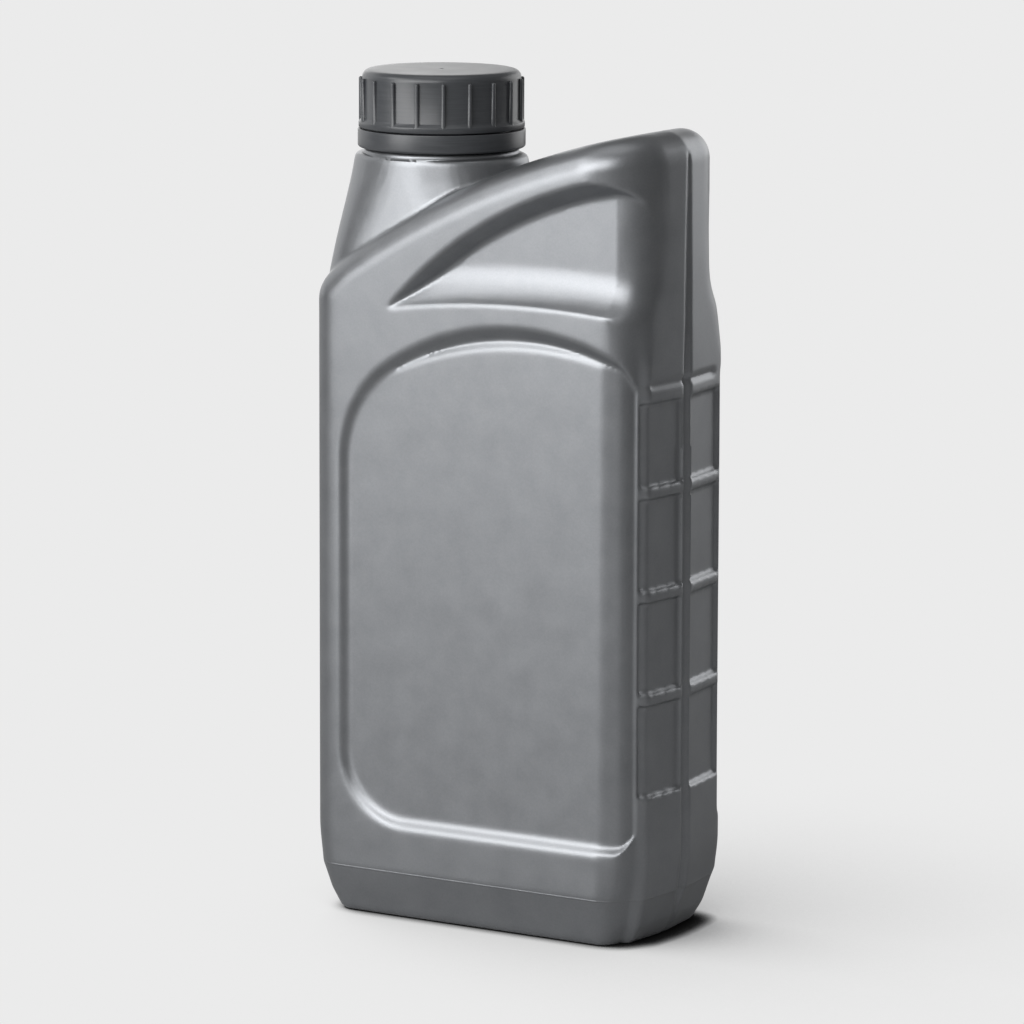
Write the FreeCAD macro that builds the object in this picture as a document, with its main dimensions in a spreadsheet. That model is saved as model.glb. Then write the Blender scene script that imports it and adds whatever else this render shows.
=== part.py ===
import FreeCAD, Part
import math
import os
import PartDesign
import Sketcher
from FreeCAD import Vector

# One-litre blow-moulded fluid bottle with a ribbed screw cap, a tamper ring and a sealing wad.
# Origin at the centre of the base, +Z up, X along the broad faces with the neck towards -X,
# and the two mould halves meeting in the plane Y = 0.

NODES = ("bottle", "cap", "tamper_ring", "cap_liner")

SIZES = {
    # blow-moulded body
    "body_width": 118.0,
    "body_depth": 57.0,
    "wall": 1.0,
    "side_draft": 6.0,
    "side_lean": 0.9,
    "edge_round": 8.5,
    "corner_low": 7.0,
    "corner_high": 20.5,
    "corner_left": 9.5,
    "corner_turn_low": 170.0,
    "corner_turn_high": 212.0,
    "crest_left": 190.2,
    "crest_right": 241.8,
    "crest_bulge": 7.6,
    "crest_end_x": -44.0,
    "crest_end_round": 50.0,
    # base
    "foot_height": 15.0,
    "foot_inset_x": 4.2,
    "foot_inset_y": 3.4,
    "foot_corner": 8.5,
    "foot_round": 2.8,
    "base_hollow": 1.4,
    "base_rim": 9.0,
    # neck cone
    "neck_x": -27.0,
    "cone_top": 229.2,
    "cone_top_x": 26.9,
    "cone_top_y": 23.4,
    "cone_foot_gap_x": 1.6,
    "cone_foot_gap_y": 2.1,
    "cone_round": 1.8,
    "cone_square": 6.0,
    # neck finish
    "neck_radius": 20.2,
    "bore_radius": 17.6,
    "thread_pitch": 4.0,
    "thread_depth": 1.25,
    "thread_clear": 0.35,
    "thread_turns": 1.4,
    "thread_root": 2.3,
    "thread_tip": 1.2,
    "thread_lead_in": 1.6,
    "bead_reach": 2.0,
    "bead_tall": 1.8,
    "collar_reach": 3.0,
    "collar_tall": 1.3,
    # tamper ring
    "ring_rest": 2.4,
    "ring_tall": 4.6,
    "ring_wall": 2.5,
    "ring_hook_grip": 0.5,
    "ring_hook_tall": 1.4,
    "ring_clear": 0.35,
    "ring_edge": 0.5,
    "seam_gap": 0.6,
    # cap
    "cap_tall": 17.2,
    "cap_wall": 1.4,
    "cap_top_wall": 1.6,
    "cap_flange": 1.5,
    "cap_flange_reach": 1.6,
    "cap_flange_slope": 0.6,
    "cap_shoulder": 2.0,
    "cap_shoulder_in": 0.9,
    "gate_radius": 1.4,
    "gate_depth": 0.3,
    "rib_number": 19,
    "rib_start": 0.1,
    "rib_radius": 0.9,
    "rib_reach": 1.5,
    "liner_thick": 1.0,
    "liner_clear": 0.3,
    "seal_gap": 0.03,
    # label recess
    "label_left": 45.2,
    "label_base": 28.4,
    "label_depth": 1.8,
    "label_foot_round": 22.5,
    "label_top": 182.4,
    "label_top_x": 16.5,
    "label_arch": 82.0,
    "label_shoulder": 36.0,
    "label_slope": 50.0,
    "label_side": 0.3,
    "label_corner": 6.5,
    "label_wrap": 5.0,
    "arch_groove": 1.3,
    "arch_groove_x": 19.0,
    "arch_groove_top": 176.2,
    "arch_groove_round": 110.0,
    "arch_groove_slope": 55.0,
    # grip recess
    "grip_depth": 6.0,
    "grip_apex_x": -30.0,
    "grip_apex_z": 183.6,
    "grip_mid_x": -2.8,
    "grip_mid_z": 207.7,
    "grip_end_x": 49.5,
    "grip_end_z": 228.3,
    "grip_base": 188.4,
    "grip_sweep": 16.0,
    "grip_lip_x": 23.0,
    "grip_lip_bow": 300.0,
    "grip_reach_angle": 14.0,
    "grip_floor_turn": 1.0,
    "grip_corner": 12.0,
    "grip_slope": 40.0,
    # ribbed side
    "side_rib_top": 163.9,
    "side_rib_first": 28.2,
    "side_rib_pitch": 30.7,
    "side_rib_number": 5,
    "side_rib_tall": 3.3,
    "side_depth": 1.3,
    "side_edge": 6.0,
    "side_rib_end": 1.4,
    "groove_bed": 1.25,
    "groove_mouth": 4.0,
    "groove_depth": 1.5,
    "groove_fade": 0.2,
}

# Sizes that follow from the others, as formulas in the same sheet.
FORMULAS = {
    "half_width": "body_width / 2",
    "half_depth": "body_depth / 2",
    "ring_base": "cone_top + ring_rest",
    "ring_top": "ring_base + ring_tall",
    "cap_base": "ring_top + seam_gap",
    "cap_top": "cap_base + cap_tall",
    "cap_ceiling": "cap_top - cap_top_wall",
    "liner_top": "cap_ceiling - seal_gap",
    "liner_base": "liner_top - liner_thick",
    "neck_top": "liner_base - seal_gap",
    "thread_crest": "neck_radius + thread_depth",
    "cap_bore": "thread_crest + thread_clear",
    "cap_radius": "cap_bore + cap_wall",
    "cap_disc": "cap_radius - cap_shoulder_in",
    "cap_shoulder_base": "cap_top - cap_shoulder",
    "flange_radius": "cap_radius + cap_flange_reach",
    "flange_top": "cap_base + cap_flange",
    "flange_slope_top": "flange_top + cap_flange_slope",
    "bead_radius": "neck_radius + bead_reach",
    "collar_radius": "neck_radius + collar_reach",
    "ring_bore": "bead_radius + ring_clear",
    "ring_radius": "ring_bore + ring_wall",
    "ring_hook_radius": "bead_radius - ring_hook_grip",
    "ring_hook_top": "ring_base + ring_hook_tall",
    "ring_step_top": "ring_hook_top + ring_edge",
    "ring_edge_radius": "ring_radius - ring_edge",
    "ring_edge_top": "ring_top - ring_edge",
    "liner_radius": "neck_radius + thread_clear - liner_clear",
}

# How far helper solids reach past what they cut or carry.
REACH = 30.0
# How far pieces that are fused sink into each other.
BITE = 0.4
# How far a kept core stands outside the faces that it must not cut.
KEEP = 0.2
# Anything nearer to a plane than this lies in it.
NEAR = 0.01
# Share of a half thickness that an edge round may take, so that a flat is left between two rounds.
ROUND_SHARE = 0.9
# Sections lofted through a bend, and points round an oval section.
BEND_STEPS = 4
OVAL_POINTS = 48


def make_sheet(document):
    """Put every driving dimension, and each that follows from them, in a cell with an alias."""
    sheet = document.addObject("Spreadsheet::Sheet", "sizes")
    row = 0
    for name, value in SIZES.items():
        row += 1
        sheet.set("A%d" % row, name)
        sheet.set("B%d" % row, str(value))
        sheet.setAlias("B%d" % row, name)
    for name, formula in FORMULAS.items():
        row += 1
        sheet.set("A%d" % row, name)
        sheet.set("B%d" % row, "=" + formula)
        sheet.setAlias("B%d" % row, name)
    document.recompute()
    return sheet


class Sizes:
    """Plain numbers read back from the sheet."""

    def __init__(self, sheet):
        for name in list(SIZES) + list(FORMULAS):
            setattr(self, name, float(sheet.get(name)))


def edge_ring(points):
    """Closed wire through points, straight from each to the next."""
    return Part.makePolygon(list(points) + [points[0]])


def smooth_share(value, low, high):
    """Share from 0 to 1 that eases in and out as a value goes from low to high."""
    share = min(1, max(0, (value - low) / (high - low)))
    return share * share * (3 - 2 * share)


def plan_wire(size, half_x, half_y, corner_right, corner_left, z):
    """Front half of the body's plan outline: sides slanting back from the parting line, round corners."""
    draft = math.radians(size.side_draft)
    bisect = (math.pi / 2 + draft) / 2
    quarters = []
    for across, corner in ((half_x[0], corner_left), (half_x[1], corner_right)):
        sign = math.copysign(1, across)
        side_y = half_y - corner
        centre_x = abs(across) - side_y * math.tan(draft) - corner / math.cos(draft)
        points = [Vector(across, 0, z)]
        for turn in (draft, bisect, math.pi / 2):
            points.append(Vector(sign * (centre_x + corner * math.cos(turn)),
                                 -side_y - corner * math.sin(turn), z))
        quarters.append(points)
    left, right = quarters
    edges = [Part.makeLine(left[0], left[1]), Part.Arc(left[1], left[2], left[3]).toShape(),
             Part.makeLine(left[3], right[3]), Part.Arc(right[3], right[2], right[1]).toShape(),
             Part.makeLine(right[1], right[0]), Part.makeLine(right[0], left[0])]
    return Part.Wire(edges)


def body_section(size, skin, z):
    """Front half of the body's plan outline at a height, at a depth under the skin."""
    lean = size.side_lean * z / size.crest_right
    turn = smooth_share(z, size.corner_turn_low, size.corner_turn_high)
    corner = size.corner_low + (size.corner_high - size.corner_low) * turn
    half_x = (-size.half_width + skin, size.half_width - lean - skin)
    return plan_wire(size, half_x, size.half_depth - skin, corner - skin, size.corner_left - skin, z)


def is_seam(edge):
    """True for a straight edge along Y, where the crest's two bends meet."""
    return edge.BoundBox.XLength < NEAR and edge.BoundBox.ZLength < NEAR


def crest_circles(size, skin):
    """Centres and radii of the crest's long bow and of the tighter bend at its low end."""
    start = Vector(-size.half_width, 0, size.crest_left)
    end = Vector(size.half_width, 0, size.crest_right)
    chord = end - start
    middle = (start + end) * 0.5 + Vector(-chord.z, 0, chord.x).normalize() * size.crest_bulge
    bow = Part.Circle(start, middle, end)
    turn = math.acos((size.crest_end_x - bow.Center.x) / bow.Radius)
    inward = bow.Radius - size.crest_end_round
    bend_centre = bow.Center + Vector(math.cos(turn), 0, math.sin(turn)) * inward
    return (bow.Center, bow.Radius - skin), (bend_centre, size.crest_end_round - skin), turn


def crest_prism(size, skin):
    """Everything under the crest, wider and deeper than the body's front half."""
    bow, bend, meet = crest_circles(size, skin)
    reach = size.half_width + REACH / 6

    def on_circle(circle, turn):
        return Vector(circle[0].x + circle[1] * math.cos(turn), 0, circle[0].z + circle[1] * math.sin(turn))

    right_turn = math.acos((reach - bow[0].x) / bow[1])
    left_turn = math.acos((-reach - bend[0].x) / bend[1])
    left = on_circle(bend, left_turn)
    join = on_circle(bow, meet)
    right = on_circle(bow, right_turn)
    low_right = Vector(reach, 0, -2 * REACH)
    low_left = Vector(-reach, 0, -2 * REACH)
    edges = [Part.Arc(left, on_circle(bend, (left_turn + meet) / 2), join).toShape(),
             Part.Arc(join, on_circle(bow, (meet + right_turn) / 2), right).toShape(),
             Part.makeLine(right, low_right), Part.makeLine(low_right, low_left),
             Part.makeLine(low_left, left)]
    return Part.Face(Part.Wire(edges)).extrude(Vector(0, -size.half_depth - REACH, 0))


def block_half(size, skin):
    """Front half of the body block: plan outlines lofted upwards, cut at the crest and rolled over."""
    steps = 6
    turns = [size.corner_turn_low + (size.corner_turn_high - size.corner_turn_low) * step / steps
             for step in range(steps + 1)]
    low = Part.makeLoft([body_section(size, skin, z) for z in (-REACH, turns[0])], True, True)
    middle = Part.makeLoft([body_section(size, skin, z) for z in turns], True, False)
    top = size.crest_right + 2 * REACH
    high = Part.makeLoft([body_section(size, skin, z) for z in (turns[-1], top)], True, True)
    block = low.fuse([middle, high]).common(crest_prism(size, skin))
    circles = crest_circles(size, skin)[:2]

    def on_rim(edge):
        spot = edge.valueAt((edge.FirstParameter + edge.LastParameter) / 2)
        flat = Vector(spot.x, 0, spot.z)
        misses = [abs((flat - centre).Length - radius) for centre, radius in circles]
        return min(misses) < NEAR and spot.y < -NEAR and not is_seam(edge)

    return block.makeFillet(size.edge_round - skin, [e for e in block.Edges if on_rim(e)])


def both_sides(half):
    """Join a front half to its copy in the other mould half."""
    return half.fuse(half.mirror(Vector(0, 0, 0), Vector(0, 1, 0))).removeSplitter()


def foot_envelope(size, inset):
    """Front half of everything above the base plane and inside the foot's inward taper."""
    rise = size.foot_height + REACH
    steep_x = size.foot_inset_x / size.foot_height
    steep_y = size.foot_inset_y / size.foot_height
    wide = size.half_width - size.foot_inset_x - inset
    deep = size.half_depth - size.foot_inset_y - inset
    wide_high = wide + steep_x * rise
    deep_high = deep + steep_y * rise
    corner = size.foot_corner - inset
    low = plan_wire(size, (-wide, wide), deep, corner, corner, inset)
    high = plan_wire(size, (-wide_high, wide_high), deep_high, corner, corner, inset + rise)
    taper = Part.makeLoft([low, high], True, True)
    rim = [e for e in taper.Edges if e.BoundBox.ZMax < inset + NEAR and e.BoundBox.YMin < -NEAR]
    taper = taper.makeFillet(size.foot_round, rim)
    box_x = size.half_width + REACH
    box_y = size.half_depth + REACH
    box_z = inset + size.foot_height + REACH / 2
    upper = Part.makeBox(2 * box_x, box_y, size.cap_top, Vector(-box_x, -box_y, box_z))
    return taper.fuse(upper)


def oval(size, half_x, half_y, power, z):
    """Closed smooth wire of a superellipse about the neck axis."""
    points = []
    for step in range(OVAL_POINTS):
        turn = 2 * math.pi * step / OVAL_POINTS
        across = math.copysign(abs(math.cos(turn)) ** (2 / power), math.cos(turn))
        along = math.copysign(abs(math.sin(turn)) ** (2 / power), math.sin(turn))
        points.append(Vector(size.neck_x + half_x * across, half_y * along, z))
    curve = Part.BSplineCurve()
    curve.interpolate(Points=points, PeriodicFlag=True)
    return Part.Wire([curve.toShape()])


def neck_cone(size, inset):
    """Cone from a nearly square foot inside the slab to an oval under the neck, with a rounded rim."""
    foot_x = size.half_width + size.neck_x - size.cone_foot_gap_x - inset
    foot_y = size.half_depth - size.cone_foot_gap_y - inset
    top_x = size.cone_top_x - inset
    top_y = size.cone_top_y - inset
    foot_z = size.crest_left - size.edge_round
    top_z = size.cone_top - inset
    rim_z = top_z - size.cone_round
    sections = []
    for step in range(BEND_STEPS + 1):
        share = step / BEND_STEPS
        half_x = foot_x + (top_x - foot_x) * share
        half_y = foot_y + (top_y - foot_y) * share
        power = 2 + (size.cone_square - 2) * (1 - share) ** 1.5
        sections.append(oval(size, half_x, half_y, power, foot_z + (rim_z - foot_z) * share))
    cone = Part.makeLoft(sections, True, False)
    rounds = []
    for step in range(BEND_STEPS + 1):
        turn = math.pi / 2 * step / BEND_STEPS
        back = size.cone_round * (1 - math.cos(turn))
        rounds.append(oval(size, top_x - back, top_y - back, 2, rim_z + size.cone_round * math.sin(turn)))
    return cone.fuse(Part.makeLoft(rounds, True, True))


def sloped(angle, grow, depth):
    """How far a sloping wall stands out at a depth, and at a distance square to the wall."""
    steep = math.tan(math.radians(angle))
    return grow * math.sqrt(1 + steep ** 2) - depth * steep


def label_prism(size, grow):
    """Sloping-sided prism in the label recess's outline, running out past the ribbed side."""
    front = -size.half_depth
    arch_centre = Vector(size.label_top_x, 0, size.label_top - size.label_arch)
    shoulder_x = -size.label_left + size.label_shoulder
    reach = size.label_arch - size.label_shoulder
    rise = math.sqrt(reach ** 2 - (shoulder_x - arch_centre.x) ** 2)
    shoulder_centre = Vector(shoulder_x, 0, arch_centre.z + rise)
    foot_centre = Vector(-size.label_left + size.label_foot_round, 0, size.label_base + size.label_foot_round)
    end_x = size.half_width + REACH / 2

    def at(centre, radius, angle, y):
        turn = math.radians(angle)
        return Vector(centre.x + radius * math.cos(turn), y, centre.z + radius * math.sin(turn))

    def outline(y):
        more = sloped(size.label_slope, grow, y - front)
        arch = size.label_arch + more
        shoulder = size.label_shoulder + more
        foot = size.label_foot_round + more
        meet = math.degrees(math.atan2(rise, shoulder_x - arch_centre.x))
        end = math.degrees(math.acos((end_x - arch_centre.x) / arch))
        half_way = (meet + end) / 2
        low = foot_centre.z - foot
        points = [at(arch_centre, arch, end, y), at(arch_centre, arch, half_way, y),
                  at(arch_centre, arch, meet, y), at(shoulder_centre, shoulder, (meet + 180) / 2, y),
                  at(shoulder_centre, shoulder, 180, y), at(foot_centre, foot, 180, y),
                  at(foot_centre, foot, 225, y), at(foot_centre, foot, 270, y), Vector(end_x, y, low)]
        edges = [Part.Arc(points[0], points[1], points[2]).toShape(),
                 Part.Arc(points[2], points[3], points[4]).toShape(),
                 Part.makeLine(points[4], points[5]),
                 Part.Arc(points[5], points[6], points[7]).toShape(),
                 Part.makeLine(points[7], points[8]), Part.makeLine(points[8], points[0])]
        return Part.Wire(edges)

    near = front + size.label_wrap + grow
    return Part.makeLoft([outline(front - size.label_depth), outline(near)], True, True)


def label_tool(size, grow):
    """Space cut for the label recess: a flat panel wrapped round the corner, with a groove at its arch."""
    floor = size.label_depth + grow
    face = size.half_depth - floor
    sections = []
    for z in (-REACH, size.crest_right):
        half_x = (-size.half_width - REACH, size.half_width - size.side_lean * z / size.crest_right
                  - size.label_side - grow)
        sections.append(plan_wire(size, half_x, face, size.label_corner, size.corner_left, z))
    box_x = size.half_width + 2 * REACH
    flat_x = size.half_width - 2 * size.label_corner
    tall = 2 * size.crest_right
    bend = Part.makeLoft(sections, True, True)
    bend = bend.common(Part.makeBox(box_x, box_x, tall, Vector(flat_x, -box_x, -REACH)))
    panel = Part.makeBox(box_x + flat_x, face, tall, Vector(-box_x, -face, -REACH))
    core = panel.fuse(bend)
    deep = -face + size.arch_groove
    beyond = Part.makeBox(2 * box_x, REACH, tall, Vector(-box_x, deep - REACH, -REACH))
    steep = math.tan(math.radians(size.arch_groove_slope))
    radius = size.arch_groove_round - grow
    centre = Vector(size.arch_groove_x, -face, size.arch_groove_top - size.arch_groove_round)
    thick = size.edge_round
    mound = Part.makeCone(radius - thick * steep, radius + thick * steep, 2 * thick,
                          centre - Vector(0, thick, 0), Vector(0, 1, 0))
    return label_prism(size, grow).cut(core.cut(beyond.cut(mound)))


def grip_corner_x(size):
    """Where the grip hollow's flat floor ends and its rounded corner begins."""
    return size.half_width - size.grip_corner


def grip_corner_sweep(size, grow):
    """Sweep of the grip hollow's floor out to its lip, carried round the body's corner."""
    depth = size.grip_depth + grow
    sweep = size.grip_sweep
    turn = math.acos(1 - depth / sweep)
    bow = size.grip_lip_bow
    drop = bow - math.sqrt(bow ** 2 - (grip_corner_x(size) - size.grip_lip_x) ** 2)
    floor_z = size.grip_base - grow - drop + sweep * math.sin(turn)
    sections = []
    for step in range(BEND_STEPS + 1):
        part = turn * (1 - step / BEND_STEPS)
        z = floor_z - sweep * math.sin(part)
        face = size.half_depth - depth + sweep * (1 - math.cos(part))
        lean = size.side_lean * z / size.crest_right
        half_x = (-size.half_width, size.half_width - lean + KEEP)
        sections.append(plan_wire(size, half_x, face, size.grip_corner - grow, size.corner_left, z))
    start = Vector(grip_corner_x(size) - BITE, -size.body_width, 0)
    window = Part.makeBox(size.body_width, size.body_width, size.crest_right, start)
    lip_z = floor_z - sweep * math.sin(turn)
    low = start + Vector(0, 0, lip_z - size.crest_right)
    under = Part.makeBox(size.body_width, size.body_width, size.crest_right, low)
    return Part.makeLoft(sections, True, False).common(window).fuse(under)


def grip_core(size, grow):
    """What the grip hollow leaves standing: a floor with a rounded corner, swept out to a bowed lip."""
    depth = size.grip_depth + grow
    floor = -size.half_depth + depth
    sweep = size.grip_sweep
    turn = math.acos(1 - depth / sweep)
    lip_z = size.grip_base - grow
    floor_z = lip_z + sweep * math.sin(turn)
    middle_z = floor_z - sweep * math.sin(turn / 2)
    middle_y = floor - sweep * (1 - math.cos(turn / 2))
    at_x = size.grip_lip_x
    deep_z = lip_z - REACH
    profile = [Vector(at_x, -size.half_depth - REACH, lip_z), Vector(at_x, -size.half_depth, lip_z),
               Vector(at_x, middle_y, middle_z), Vector(at_x, floor, floor_z), Vector(at_x, 0, floor_z),
               Vector(at_x, 0, deep_z), Vector(at_x, -size.half_depth - REACH, deep_z)]
    edges = [Part.makeLine(profile[0], profile[1]), Part.Arc(profile[1], profile[2], profile[3]).toShape()]
    edges += [Part.makeLine(profile[k], profile[(k + 1) % 7]) for k in range(3, 7)]
    pivot = Vector(at_x, 0, lip_z - size.grip_lip_bow)
    band = Part.Face(Part.Wire(edges))
    band.rotate(pivot, Vector(0, 1, 0), -size.grip_reach_angle)
    beyond = Part.makeBox(size.body_width, size.body_width, size.crest_right,
                          Vector(grip_corner_x(size), -size.body_width, 0))
    swept = band.revolve(pivot, Vector(0, 1, 0), 2 * size.grip_reach_angle).cut(beyond)
    sections = []
    for z in (deep_z, size.crest_right + REACH):
        lean = size.side_lean * z / size.crest_right
        half_x = (-size.half_width - REACH, size.half_width - lean + KEEP)
        sections.append(plan_wire(size, half_x, -floor, size.grip_corner - grow, size.corner_left, z))
    upright = Part.makeLoft(sections, True, True)
    box_x = size.half_width + 2 * REACH
    under = Part.makeBox(2 * box_x, box_x, box_x, Vector(-box_x, -box_x, deep_z + REACH / 2 - box_x))
    hinge = Vector(grip_corner_x(size), floor, 0)
    plate = Part.makeBox(2 * box_x, -floor, size.cap_top, hinge - Vector(2 * box_x, 0, 0))
    turned = swept.fuse(plate)
    turned.rotate(hinge, Vector(0, 0, 1), size.grip_floor_turn)
    return turned.fuse([upright, under, grip_corner_sweep(size, grow)])


def grip_tool(size, grow):
    """Space cut for the grip hollow: under a bowed wall and in front of the swept core."""
    front = -size.half_depth
    circle = Part.Circle(Vector(size.grip_apex_x, 0, size.grip_apex_z),
                         Vector(size.grip_mid_x, 0, size.grip_mid_z),
                         Vector(size.grip_end_x, 0, size.grip_end_z))
    centre = circle.Center
    end_x = size.half_width + REACH / 2
    low = size.grip_base - REACH / 2

    def outline(y):
        bowed = circle.Radius + sloped(size.grip_slope, grow, y - front)
        left_turn = math.pi - math.asin((low - centre.z) / bowed)
        right_turn = math.acos((end_x - centre.x) / bowed)
        turns = [left_turn, (left_turn + right_turn) / 2, right_turn]
        bend = [Vector(centre.x + bowed * math.cos(t), y, centre.z + bowed * math.sin(t)) for t in turns]
        corner = Vector(end_x, y, low)
        edges = [Part.Arc(bend[0], bend[1], bend[2]).toShape(),
                 Part.makeLine(bend[2], corner), Part.makeLine(corner, bend[0])]
        return Part.Wire(edges)

    far = front - size.edge_round / 2
    near = front + size.grip_depth + grow + size.edge_round
    return Part.makeLoft([outline(far), outline(near)], True, True).cut(grip_core(size, grow))


def side_rib_heights(size):
    """Middle heights of the ribs across the ribbed side, from the top one down."""
    heights = [size.side_rib_top]
    for step in range(int(size.side_rib_number) - 1):
        heights.append(size.side_rib_top - size.side_rib_first - step * size.side_rib_pitch)
    return heights


def side_tool(size, skin):
    """Front-half pocket of the ribbed side; at the outer skin the ribs are left standing."""
    heights = side_rib_heights(size)
    top = heights[0] + skin
    low = heights[-1] - skin
    front = -size.half_depth + size.side_edge - skin
    back = -2 * size.groove_bed + skin
    draft = math.radians(size.side_draft)
    inset = (size.side_depth + skin) / math.cos(draft)

    def outline(z):
        lean = size.side_lean * z / size.crest_right
        floor = size.half_width - lean - inset
        return edge_ring([Vector(floor + front * math.tan(draft), front, z),
                          Vector(floor + back * math.tan(draft), back, z),
                          Vector(floor + REACH, back, z), Vector(floor + REACH, front, z)])

    pocket = Part.makeLoft([outline(low), outline(top)], True, True)
    radius = size.side_rib_tall / 2
    if skin == 0:
        inner = size.half_width - REACH / 2
        for height in heights:
            start = front - radius
            bar = Part.makeBox(REACH, -size.side_rib_end - start, 2 * radius,
                               Vector(inner, start, height - radius))
            ends = [e for e in bar.Edges if e.BoundBox.XLength > 1 and e.CenterOfMass.y > front + 1]
            pocket = pocket.cut(bar.makeFillet(radius * ROUND_SHARE, ends))
    return pocket


def groove_tool(size, skin):
    """Tapering groove along the parting line, down the ribbed side."""
    sections = []
    levels = ((-REACH / 2, 1), (size.side_rib_top, 1), (size.crest_right + REACH, size.groove_fade))
    for z, share in levels:
        lean = size.side_lean * max(z, 0) / size.crest_right
        half_bed = size.groove_bed * share + skin / 2
        half_mouth = size.groove_mouth * share + skin
        bed = size.half_width - lean - size.groove_depth * share - skin
        mouth = size.half_width + size.groove_depth
        sections.append(edge_ring([Vector(mouth, -half_mouth, z), Vector(bed, -half_bed, z),
                                   Vector(bed, half_bed, z), Vector(mouth, half_mouth, z)]))
    return Part.makeLoft(sections, True, True)


def base_tool(size, skin):
    """Front half of the shallow hollow under the base, which leaves a rim to stand on."""
    wide = size.half_width - size.foot_inset_x - size.base_rim + skin
    deep = size.half_depth - size.foot_inset_y - size.base_rim + skin
    height = size.base_hollow + skin
    corner = size.foot_corner / 2
    sections = []
    for step in (height, -height):
        half_x = (-wide - step, wide + step)
        sections.append(plan_wire(size, half_x, deep + step, corner, corner, -step))
    return Part.makeLoft(sections, True, True)


def moulded_body(size, skin):
    """The blow moulding's skin at a depth: 0 for its outside, the wall for its inside."""
    block = both_sides(block_half(size, skin).common(foot_envelope(size, skin)))
    tools = [groove_tool(size, skin)]
    for tool in (label_tool(size, skin), grip_tool(size, skin), side_tool(size, skin), base_tool(size, skin)):
        tools += [tool, tool.mirror(Vector(0, 0, 0), Vector(0, 1, 0))]
    return block.fuse(neck_cone(size, skin)).cut(tools).removeSplitter()


def thread_ridge(size, radius, outward, turns, start_z):
    """Helical ridge of trapezium section on a cylinder: outward on the neck, inward in the cap."""
    side = 1 if outward else -1
    helix = Part.makeHelix(size.thread_pitch, size.thread_pitch * turns, radius)
    root = size.thread_root / 2
    tip = size.thread_tip / 2
    inner = radius - side * BITE
    outer = radius + side * size.thread_depth
    corners = [Vector(inner, 0, -root), Vector(outer, 0, -tip),
               Vector(outer, 0, tip), Vector(inner, 0, root)]
    ridge = Part.Wire(helix.Edges).makePipeShell([edge_ring(corners)], True, True)
    ridge.translate(Vector(size.neck_x, 0, start_z))
    return ridge


def neck_cylinder(size, radius, low, high):
    """Solid cylinder about the neck axis between two heights."""
    return Part.makeCylinder(radius, high - low, Vector(size.neck_x, 0, low))


def thread_start(size):
    """Height at which the neck's thread begins, so that it ends just under the mouth."""
    return size.neck_top - size.thread_lead_in - size.thread_pitch * size.thread_turns


def neck_finish(size):
    """Neck tube with its collar, tamper bead and external thread."""
    tube = neck_cylinder(size, size.neck_radius, size.cone_top - size.wall * 2, size.neck_top)
    rim = [e for e in tube.Edges if e.BoundBox.ZMin > size.neck_top - NEAR]
    tube = tube.makeFillet(size.wall / 2, rim)
    collar = neck_cylinder(size, size.collar_radius, size.cone_top - BITE, size.cone_top + size.collar_tall)
    bead_top = size.ring_top - size.ring_edge
    bead = Part.makeCone(size.bead_radius, size.neck_radius, size.bead_tall,
                         Vector(size.neck_x, 0, bead_top - size.bead_tall))
    ridge = thread_ridge(size, size.neck_radius, True, size.thread_turns, thread_start(size))
    return tube.fuse([collar, bead, ridge])


def bottle_shape(size):
    """The blow-moulded bottle: skin, neck finish and the space inside."""
    bore = neck_cylinder(size, size.bore_radius, size.cone_top - REACH, size.neck_top + REACH)
    inside = moulded_body(size, size.wall).fuse(bore)
    outside = moulded_body(size, 0).fuse(neck_finish(size))
    return outside.cut(inside)


def turned_body(document, name, corners):
    """PartDesign body: a closed outline of sheet names turned about the neck axis."""
    body = document.addObject("PartDesign::Body", name)
    sketch = body.newObject("Sketcher::SketchObject", name + "_outline")
    plane = [f for f in body.Origin.OriginFeatures if f.Role == "XZ_Plane"][0]
    sketch.AttachmentSupport = [(plane, "")]
    sketch.MapMode = "FlatFace"
    document.recompute()
    sheet = document.getObject("sizes")
    places = [(float(sheet.get(r)) if r else 0.0, float(sheet.get(z))) for r, z in corners]
    count = len(corners)
    for index in range(count):
        start = places[index]
        end = places[(index + 1) % count]
        sketch.addGeometry(Part.LineSegment(Vector(start[0], start[1], 0), Vector(end[0], end[1], 0)), False)
    for index in range(count):
        sketch.addConstraint(Sketcher.Constraint("Coincident", index, 2, (index + 1) % count, 1))
    for index, (radius, height) in enumerate(corners):
        if radius:
            across = sketch.addConstraint(Sketcher.Constraint("DistanceX", -1, 1, index, 1, places[index][0]))
            sketch.setExpression("Constraints[%d]" % across, "sizes." + radius)
        else:
            sketch.addConstraint(Sketcher.Constraint("PointOnObject", index, 1, -2))
        up = sketch.addConstraint(Sketcher.Constraint("DistanceY", -1, 1, index, 1, places[index][1]))
        sketch.setExpression("Constraints[%d]" % up, "sizes." + height)
    turned = body.newObject("PartDesign::Revolution", name + "_turned")
    turned.Profile = sketch
    turned.ReferenceAxis = (sketch, ["V_Axis"])
    turned.Angle = 360
    body.setExpression("Placement.Base.x", "sizes.neck_x")
    return body


def make_ring(document):
    """Tamper ring: a band with a hook that catches under the neck's bead."""
    return turned_body(document, "tamper_ring", [
        ("ring_hook_radius", "ring_base"), ("ring_edge_radius", "ring_base"),
        ("ring_radius", "ring_step_top"), ("ring_radius", "ring_edge_top"),
        ("ring_edge_radius", "ring_top"), ("ring_bore", "ring_top"),
        ("ring_bore", "ring_step_top"), ("ring_hook_radius", "ring_hook_top")])


def make_liner(document):
    """Sealing wad: a plain disc pressed between the cap and the neck's mouth."""
    return turned_body(document, "cap_liner", [
        ("", "liner_base"), ("liner_radius", "liner_base"), ("liner_radius", "liner_top"),
        ("", "liner_top")])


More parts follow.
